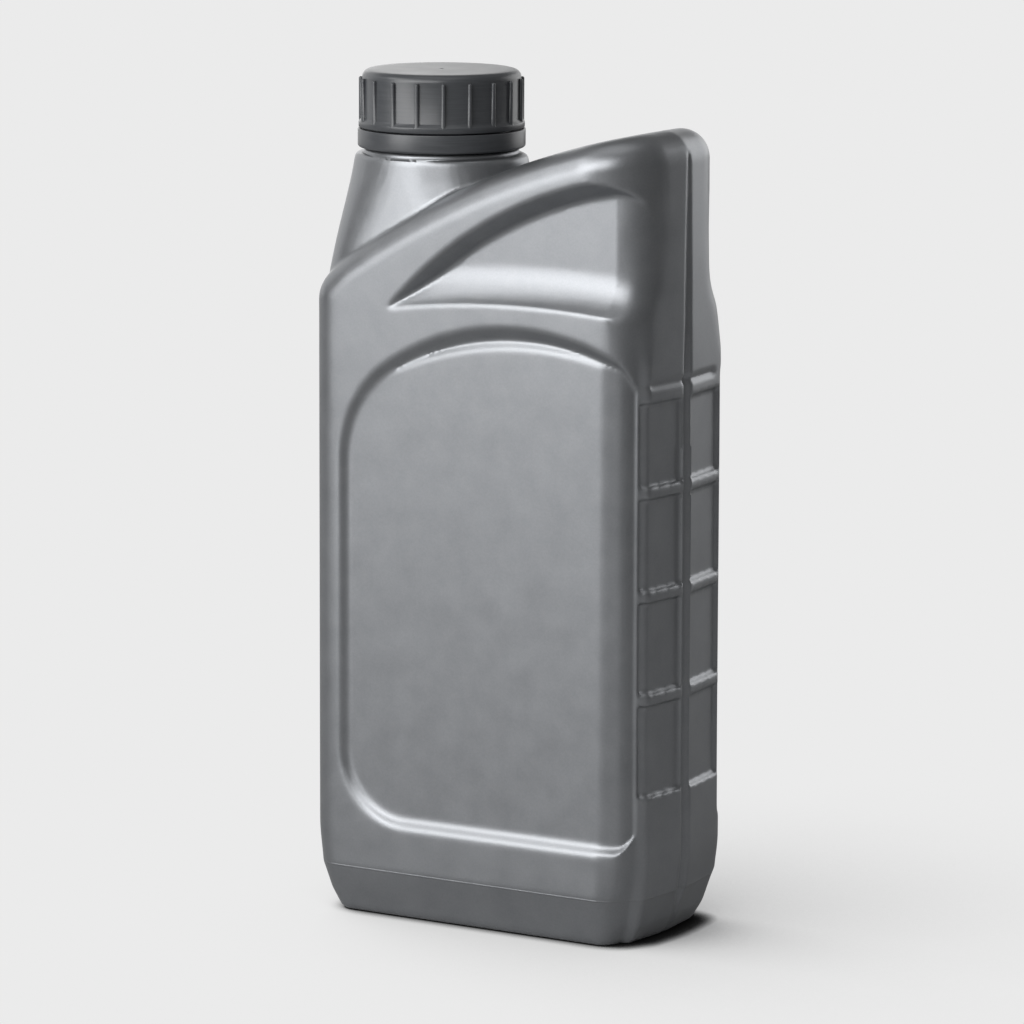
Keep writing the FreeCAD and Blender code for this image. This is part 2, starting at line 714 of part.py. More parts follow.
def make_cap_shell(document):
    """Cap without its ribs and thread: skirt, bottom flange, shoulder and top."""
    return turned_body(document, "cap_shell", [
        ("cap_bore", "cap_base"), ("flange_radius", "cap_base"), ("flange_radius", "flange_top"),
        ("cap_radius", "flange_slope_top"), ("cap_radius", "cap_shoulder_base"),
        ("cap_disc", "cap_top"), ("", "cap_top"), ("", "cap_ceiling"), ("cap_bore", "cap_ceiling")])


def cap_shape(size, shell):
    """The whole cap: its turned shell with grip ribs, internal thread and gate mark."""
    low = size.flange_top
    high = size.cap_shoulder_base + size.rib_radius
    reach = size.cap_radius + size.rib_reach - size.rib_radius
    ribs = []
    for step in range(int(size.rib_number)):
        turn = 2 * math.pi * step / size.rib_number + math.radians(size.rib_start)
        foot = Vector(size.neck_x + reach * math.cos(turn), reach * math.sin(turn), low)
        post = Part.makeCylinder(size.rib_radius, high - low, foot)
        ends = [e for e in post.Edges if abs(e.BoundBox.ZLength) < NEAR]
        ribs.append(post.makeFillet(size.rib_radius * ROUND_SHARE, ends))
    shoulder = [e for e in shell.Edges if e.BoundBox.ZMin > size.cap_shoulder_base - NEAR
                and e.BoundBox.XLength > 2 * size.cap_disc - NEAR]
    rounded = shell.makeFillet(size.cap_shoulder_in * 0.5, shoulder)
    start = thread_start(size) - size.thread_pitch / 2
    ridge = thread_ridge(size, size.cap_bore, False, size.thread_turns, start)
    gate = neck_cylinder(size, size.gate_radius, size.cap_top - size.gate_depth, size.cap_top + REACH)
    return rounded.fuse(ribs + [ridge]).cut(gate)


def finish(document, shapes):
    """Check every object and write each sub-part's solid to its own file."""
    document.recompute()
    for item in document.Objects:
        if "Invalid" in item.State or "Error" in item.State:
            raise RuntimeError("%s failed: %s" % (item.Label, item.State))
    os.makedirs("parts", exist_ok=True)
    for name in shapes:
        shape = document.getObject(name).Shape
        if shape.isNull() or not shape.isValid() or len(shape.Solids) != 1:
            raise RuntimeError("%s is not one valid solid" % name)
        shape.exportStep("parts/%s.step" % name)
        print(name, "volume", round(shape.Volume), "faces", len(shape.Faces))


def main():
    document = FreeCAD.newDocument("bottle")
    size = Sizes(make_sheet(document))
    make_ring(document)
    make_liner(document)
    shell = make_cap_shell(document)
    document.recompute()
    bottle = document.addObject("Part::Feature", "bottle")
    bottle.Shape = bottle_shape(size)
    bottle.Placement = FreeCAD.Placement()
    cap = document.addObject("Part::Feature", "cap")
    cap.Shape = cap_shape(size, shell.Shape)
    cap.Placement = FreeCAD.Placement()
    for name in NODES:
        document.getObject(name).Label = name
    finish(document, NODES)


main()
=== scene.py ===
import math

import bmesh
import bpy
from mathutils import Matrix, Vector


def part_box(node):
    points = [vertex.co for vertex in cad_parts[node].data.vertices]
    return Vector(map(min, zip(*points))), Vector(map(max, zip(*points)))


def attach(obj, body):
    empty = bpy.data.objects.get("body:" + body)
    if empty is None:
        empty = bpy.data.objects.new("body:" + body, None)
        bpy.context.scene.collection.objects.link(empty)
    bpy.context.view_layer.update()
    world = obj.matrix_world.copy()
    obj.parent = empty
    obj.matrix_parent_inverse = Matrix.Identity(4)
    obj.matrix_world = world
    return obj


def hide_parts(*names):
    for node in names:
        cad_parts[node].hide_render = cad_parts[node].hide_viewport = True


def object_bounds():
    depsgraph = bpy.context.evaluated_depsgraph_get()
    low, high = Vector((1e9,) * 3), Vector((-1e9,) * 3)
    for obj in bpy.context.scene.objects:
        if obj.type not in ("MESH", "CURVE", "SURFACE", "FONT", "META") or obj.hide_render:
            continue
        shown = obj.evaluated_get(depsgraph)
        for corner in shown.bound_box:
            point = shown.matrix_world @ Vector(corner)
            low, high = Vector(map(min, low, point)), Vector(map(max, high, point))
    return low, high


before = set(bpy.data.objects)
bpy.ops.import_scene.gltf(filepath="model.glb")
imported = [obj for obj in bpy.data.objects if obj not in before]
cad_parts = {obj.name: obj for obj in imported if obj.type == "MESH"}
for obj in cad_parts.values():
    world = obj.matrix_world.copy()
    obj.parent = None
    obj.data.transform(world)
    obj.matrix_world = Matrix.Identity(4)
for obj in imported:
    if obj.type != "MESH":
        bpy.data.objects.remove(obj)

CAD_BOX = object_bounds()

bl_info = {
    "name": "Fluid Bottle",
    "version": (1, 0, 0),
    "blender": (4, 5, 0),
    "location": "View3D > Sidebar > Fluid Bottle",
    "description": "Blow-moulded fluid bottle with its ribbed cap, tamper ring, sealing wad and stage",
    "category": "Object",
}

MM = 0.001

# Where the CAD puts the closure, read from the parts of model.glb.
CAP_LOW, CAP_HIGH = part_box("cap")
CAP_RADIUS = (CAP_HIGH.x - CAP_LOW.x) / 2
RING_LOW, RING_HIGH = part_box("tamper_ring")
RING_RADIUS = (RING_HIGH.x - RING_LOW.x) / 2
NECK = Vector(((CAP_LOW.x + CAP_HIGH.x) / 2, 0.0, 0.0))

# Blown skin: its wall, the grid its hollow is remeshed on, and the shares of faces that thinning keeps.
WALL = 1.1 * MM
HOLLOW_GRID = 1.5 * MM
HOLLOW_KEEP = 0.25
SKIN_KEEP = 0.28
# How far the neck finish is carried down into the skin, and its bore past the neck at either end.
NECK_SEAT = 0.8 * MM
BORE_BELOW = 8 * MM
BORE_ABOVE = 5 * MM
# Smoothing passes at the post beside the grip hollow and at the slopes round the label faces.
POST_PASSES = 120
LEDGE_PASSES = 20
# Corner between the front face and the ribbed side: the middle of its round, and how far it gives way.
CORNER_X = 43 * MM
CORNER_Y = -12.7 * MM
CORNER_BEND = 3.0 * MM
# Broad faces towards the neck's side: where they start to ease in, over what length, and how far.
NECK_SIDE_X = -42 * MM
NECK_SIDE_LONG = 15 * MM
NECK_SIDE_EASE = 0.8 * MM
# Ribbed side: where it starts, the depth of its parting groove, and the depth and height of its top line.
RIBBED_X = 50 * MM
GROOVE_DEEP = 0.7 * MM
LINE_DEEP = 0.8 * MM
LINE_Z = 167.2 * MM
# Narrow sides at the foot: how far they lean in, and how far they round in below that.
FOOT_LEAN = 1.3 * MM
FOOT_ROUND = 1.5 * MM

# Steps round a turned core or bore, and round the tamper band.
BORE_STEPS = 96
BAND_STEPS = 240
# Edges that bend more than this stay sharp in the shading of the cap and the ring.
SHARP_TURN = math.radians(38)

# Softboxes: name, azimuth and elevation in degrees, distance, width and height in metres, radiance.
LAMPS = (
    ("key", -26.5, 16.5, 1.5, 0.87, 0.97, 4.6),
    ("key_high", 5, 31, 1.5, 1.0, 0.75, 4.0),
    ("ledge", -45, 43, 1.5, 0.85, 0.44, 3.4),
    ("left_fill", -115, 12, 1.8, 2.2, 1.6, 0.8),
    ("back_wall", 205, 12, 1.8, 1.6, 0.8, 0.9),
    ("right_back", 164, 13, 1.8, 1.2, 1.1, 1.55),
    ("top", 0, 84, 1.3, 1.0, 0.7, 0.8),
)
CAMERA_TARGET = Vector((-1.987, 0.0, 122.429)) * MM


# ---------------------------------------------------------------- colours and nodes

def linear(code):
    """Linear RGBA of an sRGB hex colour."""
    shares = [int(code[i:i + 2], 16) / 255 for i in (1, 3, 5)]
    return tuple(c / 12.92 if c <= 0.04045 else ((c + 0.055) / 1.055) ** 2.4 for c in shares) + (1.0,)


def add(tree, kind, settings=None, **links):
    """Add a node to a tree.

    Settings are its properties, links its input values or the sockets that feed them.
    """
    node = tree.nodes.new(kind)
    for name, value in (settings or {}).items():
        setattr(node, name, value)
    for name, value in links.items():
        key = int(name[1:]) if name[0] == "_" and name[1:].isdigit() else name.replace("_", " ")
        socket = node.inputs[key]
        if isinstance(value, bpy.types.NodeSocket):
            tree.links.new(value, socket)
        else:
            socket.default_value = value
    return node


def new_material(name):
    """An empty node material and its output node."""
    material = bpy.data.materials.new(name)
    material.use_nodes = True
    material.node_tree.nodes.clear()
    return material, add(material.node_tree, "ShaderNodeOutputMaterial")


def ramp(tree, value, stops):
    """Colour ramp through (place, colour) stops."""
    node = add(tree, "ShaderNodeValToRGB", Fac=value)
    elements = node.color_ramp.elements
    while len(elements) < len(stops):
        elements.new(1.0)
    for element, (place, colour) in zip(elements, stops):
        element.position = place
        element.color = colour
    return node.outputs["Color"]


def grey(value):
    """Opaque grey of a linear value, for ramps that carry a number."""
    return (value, value, value, 1.0)


# ---------------------------------------------------------------- materials

def silver_polyethylene(settings):
    """High-density polyethylene blown with silver-grey pigment in a fine-blasted steel mould.

    The pigment gives it a soft metallic sheen, the blasted mould a satin skin with a very fine
    grain, and the cooling melt faint clouds and long shallow waves that bend its highlights.
    """
    material, output = new_material("silver_grey_hdpe")
    tree = material.node_tree
    place = add(tree, "ShaderNodeTexCoord").outputs["Object"]
    # Grain of the blasted mould: about 0.5 mm, coarser than the real 0.2 mm so that it shows.
    grain = add(tree, "ShaderNodeTexNoise", Vector=place, Scale=1 / (0.55 * MM), Detail=3.0, Roughness=0.6)
    # Clouds of pigment, 9 mm across.
    cloud = add(tree, "ShaderNodeTexNoise", Vector=place, Scale=1 / (9 * MM), Detail=4.0, Roughness=0.55)
    # Waves left by the cooling melt, 30 mm long.
    wave = add(tree, "ShaderNodeTexNoise", Vector=place, Scale=1 / (30 * MM), Detail=1.0, Roughness=0.4)
    mix = add(tree, "ShaderNodeMix", {"data_type": "FLOAT"}, Factor=0.42)
    tree.links.new(cloud.outputs["Fac"], mix.inputs[2])
    tree.links.new(grain.outputs["Fac"], mix.inputs[3])
    colour = ramp(tree, mix.outputs[0], [(0.30, linear(settings.shade)), (0.70, linear(settings.light))])
    spread = 0.025
    rough = ramp(tree, cloud.outputs["Fac"], [(0.25, grey(settings.roughness - spread)),
                                              (0.75, grey(settings.roughness + spread))])
    fine = add(tree, "ShaderNodeBump", Strength=0.10, Distance=0.10 * MM, Height=grain.outputs["Fac"])
    broad = add(tree, "ShaderNodeBump", Strength=0.25, Distance=0.35 * MM,
                Height=wave.outputs["Fac"], Normal=fine.outputs["Normal"])
    # Fine raised line where the base part of the mould meets its walls, 0.5 mm wide.
    height = add(tree, "ShaderNodeSeparateXYZ", Vector=place).outputs["Z"]
    past = add(tree, "ShaderNodeMath", {"operation": "SUBTRACT"}, _0=height, _1=settings.foot_line)
    away = add(tree, "ShaderNodeMath", {"operation": "ABSOLUTE"}, _0=past.outputs["Value"])
    raised = add(tree, "ShaderNodeMapRange", Value=away.outputs["Value"],
                 From_Min=0.35 * MM, From_Max=0.1 * MM)
    line = add(tree, "ShaderNodeBump", Strength=1.0, Distance=0.07 * MM,
               Height=raised.outputs["Result"], Normal=broad.outputs["Normal"])
    shader = add(tree, "ShaderNodeBsdfPrincipled", Base_Color=colour, Roughness=rough,
                 Metallic=settings.metallic, IOR=1.53, Normal=line.outputs["Normal"])
    tree.links.new(shader.outputs["BSDF"], output.inputs["Surface"])
    return material


def charcoal_polypropylene(settings, name):
    """Injection-moulded polypropylene, charcoal, with the faint rings that the turned mould leaves."""
    material, output = new_material(name)
    tree = material.node_tree
    place = add(tree, "ShaderNodeTexCoord").outputs["Object"]
    # Long thin streaks round the skirt: noise squeezed along the height.
    lathe = add(tree, "ShaderNodeMapping", Vector=place, Scale=(1.0, 1.0, 24.0))
    streak = add(tree, "ShaderNodeTexNoise", Vector=lathe.outputs["Vector"], Scale=1 / (9 * MM),
                 Detail=3.0, Roughness=0.55)
    grain = add(tree, "ShaderNodeTexNoise", Vector=place, Scale=1 / (0.5 * MM), Detail=2.0, Roughness=0.6)
    colour = ramp(tree, streak.outputs["Fac"], [(0.25, linear(settings.shade)),
                                                (0.75, linear(settings.light))])
    rough = ramp(tree, streak.outputs["Fac"], [(0.3, grey(settings.roughness - 0.02)),
                                               (0.7, grey(settings.roughness + 0.03))])
    rings = add(tree, "ShaderNodeBump", Strength=0.06, Distance=0.08 * MM, Height=streak.outputs["Fac"])
    fine = add(tree, "ShaderNodeBump", Strength=0.04, Distance=0.05 * MM, Height=grain.outputs["Fac"],
               Normal=rings.outputs["Normal"])
    shader = add(tree, "ShaderNodeBsdfPrincipled", Base_Color=colour, Roughness=rough, IOR=1.55,
                 Normal=fine.outputs["Normal"])
    tree.links.new(shader.outputs["BSDF"], output.inputs["Surface"])
    return material


def foam_polyethylene():
    """Expanded polyethylene sheet: white, matt, with tiny closed cells."""
    material, output = new_material("white_pe_foam")
    tree = material.node_tree
    place = add(tree, "ShaderNodeTexCoord").outputs["Object"]
    cells = add(tree, "ShaderNodeTexVoronoi", Vector=place, Scale=1 / (0.4 * MM))
    colour = ramp(tree, cells.outputs["Distance"], [(0.0, linear("#d8d8d4")), (0.6, linear("#efefea"))])
    bump = add(tree, "ShaderNodeBump", Strength=0.3, Distance=0.1 * MM, Height=cells.outputs["Distance"])
    shader = add(tree, "ShaderNodeBsdfPrincipled", Base_Color=colour, Roughness=0.75, IOR=1.5,
                 Normal=bump.outputs["Normal"])
    tree.links.new(shader.outputs["BSDF"], output.inputs["Surface"])
    return material


# ---------------------------------------------------------------- mesh helpers

def merged_copy(node):
    """Bmesh of a CAD node with its loose triangles merged into closed shells."""
    mesh = bmesh.new()
    mesh.from_mesh(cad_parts[node].data)
    bmesh.ops.remove_doubles(mesh, verts=mesh.verts, dist=0.001 * MM)
    return mesh


def cut_neck(mesh, height, keep_neck):
    """Cut the neck off the bottle's bmesh at a height and keep the neck or the rest."""
    faces = [f for f in mesh.faces if f.calc_center_median().x < 0]
    edges = {e for f in faces for e in f.edges}
    verts = {v for f in faces for v in f.verts}
    bmesh.ops.bisect_plane(mesh, geom=list(verts) + list(edges) + faces, dist=1e-7,
                           plane_co=(0, 0, height), plane_no=(0, 0, 1))
    drop = []
    for face in mesh.faces:
        middle = face.calc_center_median()
        if (middle.x < 0 and middle.z > height) != keep_neck:
            drop.append(face)
    bmesh.ops.delete(mesh, geom=drop, context="FACES")


def widest_island(mesh):
    """The faces of the connected shell that reaches furthest along X."""
    left = set(mesh.faces)
    best, best_x = [], -1.0
    while left:
        stack = [left.pop()]
        island = []
        while stack:
            face = stack.pop()
            island.append(face)
            for edge in face.edges:
                for other in edge.link_faces:
                    if other in left:
                        left.remove(other)
                        stack.append(other)
        reach = max(v.co.x for f in island for v in f.verts)
        if reach > best_x:
            best, best_x = island, reach
    return best


def to_object(mesh, name):
    """Object at the origin from a bmesh, smooth shaded."""
    data = bpy.data.meshes.new(name)
    mesh.to_mesh(data)
    mesh.free()
    data.shade_smooth()
    piece = bpy.data.objects.new(name, data)
    bpy.context.scene.collection.objects.link(piece)
    return piece


def settle(piece):
    """Make a piece's modifiers part of its mesh."""
    shape = piece.evaluated_get(bpy.context.evaluated_depsgraph_get())
    data = bpy.data.meshes.new_from_object(shape)
    old = piece.data
    piece.modifiers.clear()
    piece.data = data
    bpy.data.meshes.remove(old)


def fade(value, start, end):
    """Share that grows smoothly from 0 at start to 1 at end."""
    share = min(max((value - start) / (end - start), 0.0), 1.0)
    return share * share * (3 - 2 * share)


def arc(centre, radius, first, last, steps):
    """Points (radius, height) along a round stretch of an outline, between two angles in degrees."""
    angles = [math.radians(first + (last - first) * step / steps) for step in range(steps + 1)]
    return [(centre[0] + radius * math.cos(a), centre[1] + radius * math.sin(a)) for a in angles]


def turned(name, outline, steps, axis=NECK, closed=False):
    """Solid turned about an upright axis from an outline of (radius, height) points."""
    mesh = bmesh.new()
    verts = [mesh.verts.new((axis.x + radius, axis.y, height)) for radius, height in outline]
    edges = [mesh.edges.new(pair) for pair in zip(verts, verts[1:] + verts[:1] if closed else verts[1:])]
    bmesh.ops.spin(mesh, geom=verts + edges, cent=axis, axis=(0, 0, 1), dvec=(0, 0, 0), angle=2 * math.pi,
                   steps=steps, use_merge=True, use_duplicate=False)
    bmesh.ops.remove_doubles(mesh, verts=mesh.verts, dist=0.001 * MM)
    bmesh.ops.recalc_face_normals(mesh, faces=mesh.faces)
    return to_object(mesh, name)


def cylinder(name, radius, low, high):
    """Cylinder on the neck's axis between two heights."""
    return turned(name, [(0, low), (radius, low), (radius, high), (0, high)], BORE_STEPS)


def combine(piece, operation, *others):
    """Join or cut a piece with helper solids, which are then removed."""
    for other in others:
        modify(piece, "BOOLEAN", operation=operation, object=other, solver="MANIFOLD")
    settle(piece)
    for other in others:
        bpy.data.objects.remove(other)


def modify(piece, kind, **settings):
    """Add a modifier with its settings."""
    modifier = piece.modifiers.new(kind.lower(), kind)
    for name, value in settings.items():
        setattr(modifier, name, value)
    return modifier


def ease(piece, share_at, passes):
    """Smooth a part of a piece: share_at gives how much, 0 to 1, at a point of its mesh."""
    group = piece.vertex_groups.new(name="ease")
    shares = {}
    for vertex in piece.data.vertices:
        share = round(share_at(vertex.co), 1)
        if share > 0:
            shares.setdefault(share, []).append(vertex.index)
    for share, indices in shares.items():
        group.add(indices, share, "REPLACE")
    modify(piece, "SMOOTH", factor=0.5, iterations=passes, vertex_group=group.name)
    settle(piece)
    piece.vertex_groups.clear()


def dress(piece, material, body, slot, *nodes):
    """Give a piece its material and, when it stands for CAD nodes, its body, hiding those nodes; the slot
    is not used.
    """
    piece.data.materials.clear()
    piece.data.materials.append(material)
    if nodes:
        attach(piece, body)
        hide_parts(*nodes)


# ---------------------------------------------------------------- settings

class BottleSettings(bpy.types.PropertyGroup):
    """Finish and softness of the blow-moulded bottle."""

    light: bpy.props.StringProperty(name="Light grey", description="Paler grey of the pigmented melt",
                                    default="#909295")
    shade: bpy.props.StringProperty(name="Shade grey", description="Darker grey of the pigmented melt",
                                    default="#848689")
    roughness: bpy.props.FloatProperty(name="Roughness", description="Roughness of the satin skin",
                                       default=0.38, min=0.1, max=1.0)
    metallic: bpy.props.FloatProperty(name="Sheen of the pigment", description="Share of metallic pigment",
                                      default=0.85, min=0.0, max=1.0)
    foot_line: bpy.props.FloatProperty(
        name="Foot line", description="Height of the mould line above the foot",
        default=14.4 * MM, min=5 * MM, max=30 * MM, unit="LENGTH")
    voxel: bpy.props.FloatProperty(name="Mesh grain", description="Size of the remesh grid",
                                   default=0.6 * MM, min=0.3 * MM, max=3 * MM, unit="LENGTH")
    passes: bpy.props.IntProperty(name="Softness", description="Smoothing passes over the moulded edges",
                                  default=4, min=0, max=40)


class ClosureSettings(bpy.types.PropertyGroup):
    """Finish and softness of the cap and the tamper ring."""

    light: bpy.props.StringProperty(name="Light charcoal", description="Paler charcoal of the cap",
                                    default="#46484b")
    shade: bpy.props.StringProperty(name="Shade charcoal", description="Darker charcoal of the cap",
                                    default="#3b3d40")
    roughness: bpy.props.FloatProperty(name="Roughness", description="Roughness of the moulded skin",
                                       default=0.33, min=0.1, max=1.0)
    ribs: bpy.props.IntProperty(name="Ribs", description="Grip ribs round the cap",
                                default=19, min=3, max=60)
    rib_reach: bpy.props.FloatProperty(
        name="Rib reach", description="How far the foot band and the ribs stand out",
        default=1.05 * MM, min=0.4 * MM, max=2 * MM, unit="LENGTH")
    shoulder: bpy.props.FloatProperty(name="Shoulder", description="Radius of the cap's round shoulder",
                                      default=2.4 * MM, min=0.5 * MM, max=5 * MM, unit="LENGTH")
    seam_lift: bpy.props.FloatProperty(
        name="Seam", description="How far the ring's band rises into the seam",
        default=0.25 * MM, min=0.0, max=0.4 * MM, unit="LENGTH")
    ring_drop: bpy.props.FloatProperty(
        name="Ring skirt", description="How far the ring's band hangs below its hook",
        default=0.7 * MM, min=0.0, max=1.5 * MM, unit="LENGTH")


class StageSettings(bpy.types.PropertyGroup):
    """Floor, lamps and camera."""

    floor: bpy.props.StringProperty(name="Floor", description="Colour of the floor and the backdrop",
                                    default="#ebebeb")
    camera_azimuth: bpy.props.FloatProperty(
        name="Camera azimuth", description="Turn of the camera from the front",
        default=math.radians(31.262), subtype="ANGLE")
    camera_elevation: bpy.props.FloatProperty(
        name="Camera elevation", description="Height angle of the camera",
        default=math.radians(9.588), subtype="ANGLE")
    camera_roll: bpy.props.FloatProperty(name="Camera roll", description="Lean of the camera to one side",
                                         default=math.radians(0.213), subtype="ANGLE")
    camera_distance: bpy.props.FloatProperty(
        name="Camera distance", description="From the camera to its target",
        default=1.72219, unit="LENGTH")
    lens: bpy.props.FloatProperty(name="Lens", description="Focal length on a 36 mm sensor", default=202.33)


# ---------------------------------------------------------------- pieces

class OBJECT_OT_bottle_skin(bpy.types.Operator):
    """Bottle: the blown skin with its moulded edges softened, its neck finish and its hollow"""

    bl_idname = "object.bottle_skin"
    bl_label = "Bottle"

    def execute(self, context):
        settings = context.scene.fluid_bottle
        neck_foot = self.collar_foot()
        # Outside of the blown skin, closed where the neck stands.
        mesh = merged_copy("bottle")
        cut_neck(mesh, neck_foot, keep_neck=False)
        outer = set(widest_island(mesh))
        bmesh.ops.delete(mesh, geom=[f for f in mesh.faces if f not in outer], context="FACES")
        bmesh.ops.holes_fill(mesh, edges=[e for e in mesh.edges if e.is_boundary], sides=0)
        skin = to_object(mesh, "bottle_skin")
        modify(skin, "REMESH", mode="VOXEL", voxel_size=settings.voxel, adaptivity=0.0)
        settle(skin)
        for vertex in skin.data.vertices:
            vertex.co = self.round_foot(self.side_lines(self.bend_left(self.bend_corner(vertex.co))))
        ease(skin, self.grip_post, POST_PASSES)
        ease(skin, self.label_ledges, LEDGE_PASSES)
        modify(skin, "SMOOTH", factor=0.5, iterations=settings.passes)
        settle(skin)
        # Hollow: the skin taken in by its wall.
        hollow = bpy.data.objects.new("hollow", skin.data.copy())
        context.scene.collection.objects.link(hollow)
        modify(hollow, "REMESH", mode="VOXEL", voxel_size=HOLLOW_GRID, adaptivity=0.0)
        modify(hollow, "DISPLACE", strength=-WALL, mid_level=0.0)
        settle(hollow)
        modify(hollow, "REMESH", mode="VOXEL", voxel_size=HOLLOW_GRID, adaptivity=0.0)
        modify(hollow, "DECIMATE", ratio=HOLLOW_KEEP)
        settle(hollow)
        modify(skin, "DECIMATE", ratio=SKIN_KEEP)
        settle(skin)
        # Neck finish, carried a little down into the skin, and the bore that opens it into the hollow.
        mesh = merged_copy("bottle")
        cut_neck(mesh, neck_foot, keep_neck=True)
        neck = self.closed_below(mesh, "neck_finish", NECK_SEAT)
        bore_radius = min((v.co.xy - NECK.xy).length for v in neck.data.vertices)
        bore = cylinder("bore", bore_radius, neck_foot - BORE_BELOW, CAP_HIGH.z + BORE_ABOVE)
        combine(skin, "DIFFERENCE", hollow)
        combine(skin, "UNION", neck)
        combine(skin, "DIFFERENCE", bore)
        skin.data.shade_smooth()
        dress(skin, silver_polyethylene(settings), "bottle", "bottle_hdpe", "bottle")
        return {"FINISHED"}

    def bend_corner(self, point):
        """Place of a point of the skin once the front face turns gently into the ribbed side."""
        way = Vector((point.x - CORNER_X, point.y - CORNER_Y))
        if way.x <= 0 or way.y >= 0:
            return point
        turn = math.degrees(math.atan2(way.x, -way.y))
        off_front = fade(turn, 0, 46)
        off_side = fade(turn, 67, 47)
        below_grip = fade(point.z, 194 * MM, 166 * MM)
        way = way.normalized() * (way.length - CORNER_BEND * off_front * off_side * below_grip)
        return Vector((CORNER_X + way.x, way.y + CORNER_Y, point.z))

    def bend_left(self, point):
        """Place of a point of the skin once the broad faces ease towards the neck's side."""
        past = max(0.0, NECK_SIDE_X - point.x) / NECK_SIDE_LONG
        on_face = fade(abs(point.y), 15 * MM, 24 * MM)
        return point - Vector((0, math.copysign(NECK_SIDE_EASE * past * past * on_face, point.y), 0))

    def side_lines(self, point):
        """Place of a point of the ribbed side once its parting groove and its top line are deepened."""
        if point.x < RIBBED_X:
            return point
        at_groove = fade(abs(point.y), 1.7 * MM, 0.4 * MM)
        below_grip = fade(point.z, 185 * MM, 165 * MM)
        at_line = fade(abs(point.z - LINE_Z), 1.5 * MM, 0.3 * MM)
        off_edges = fade(abs(point.y), 21 * MM, 17 * MM)
        deep = GROOVE_DEEP * at_groove * below_grip + LINE_DEEP * at_line * off_edges
        return point - Vector((deep, 0, 0))

    def round_foot(self, point):
        """Place of a point of the skin once its narrow sides round in towards the foot."""
        lean = FOOT_LEAN * fade(point.z, 27 * MM, 12 * MM)
        turn = FOOT_ROUND * fade(point.z, 7 * MM, 0)
        near_side = fade(abs(point.x), 40 * MM, 54 * MM)
        return point - Vector((math.copysign((lean + turn) * near_side, point.x), 0, 0))

    def grip_post(self, point):
        """Share of smoothing at the post between the grip hollows and the ribbed side."""
        near_side = fade(point.x, 47 * MM, 51 * MM)
        off_parting = fade(abs(point.y), 3 * MM, 6 * MM)
        above_shelf = fade(point.z, 172 * MM, 182 * MM)
        below_crest = fade(point.z, 222 * MM, 206 * MM)
        return near_side * off_parting * above_shelf * below_crest

    def label_ledges(self, point):
        """Share of smoothing at the slopes round the label faces: wide at the foot, narrow at the arch."""
        low = fade(point.z, 18 * MM, 24 * MM) * fade(point.z, 44 * MM, 38 * MM)
        high = 0.4 * fade(point.z, 38 * MM, 44 * MM) * fade(point.z, 187 * MM, 184 * MM)
        on_face = fade(abs(point.y), 20 * MM, 23 * MM)
        off_side = fade(point.x, 52 * MM, 46 * MM)
        return (low + high) * on_face * off_side

    def collar_foot(self):
        """Height just above the cone's flat top, from the faces that look up under the ring."""
        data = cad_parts["bottle"].data
        tops = [f.center.z for f in data.polygons if f.normal.z > 0.999 and f.center.z < RING_LOW.z]
        under_ring = RING_LOW.z - 1.5 * MM
        return max(z for z in tops if z < under_ring) + 0.05 * MM

    def closed_below(self, mesh, name, depth):
        """Carry the open lower edges of a tube down and join them into a ring."""
        rise = bmesh.ops.extrude_edge_only(mesh, edges=[e for e in mesh.edges if e.is_boundary])
        moved = [v for v in rise["geom"] if isinstance(v, bmesh.types.BMVert)]
        bmesh.ops.translate(mesh, verts=moved, vec=(0, 0, -depth))
        bmesh.ops.bridge_loops(mesh, edges=[e for e in mesh.edges if e.is_boundary])
        bmesh.ops.triangulate(mesh, faces=mesh.faces)
        bmesh.ops.recalc_face_normals(mesh, faces=mesh.faces)
        return to_object(mesh, name)


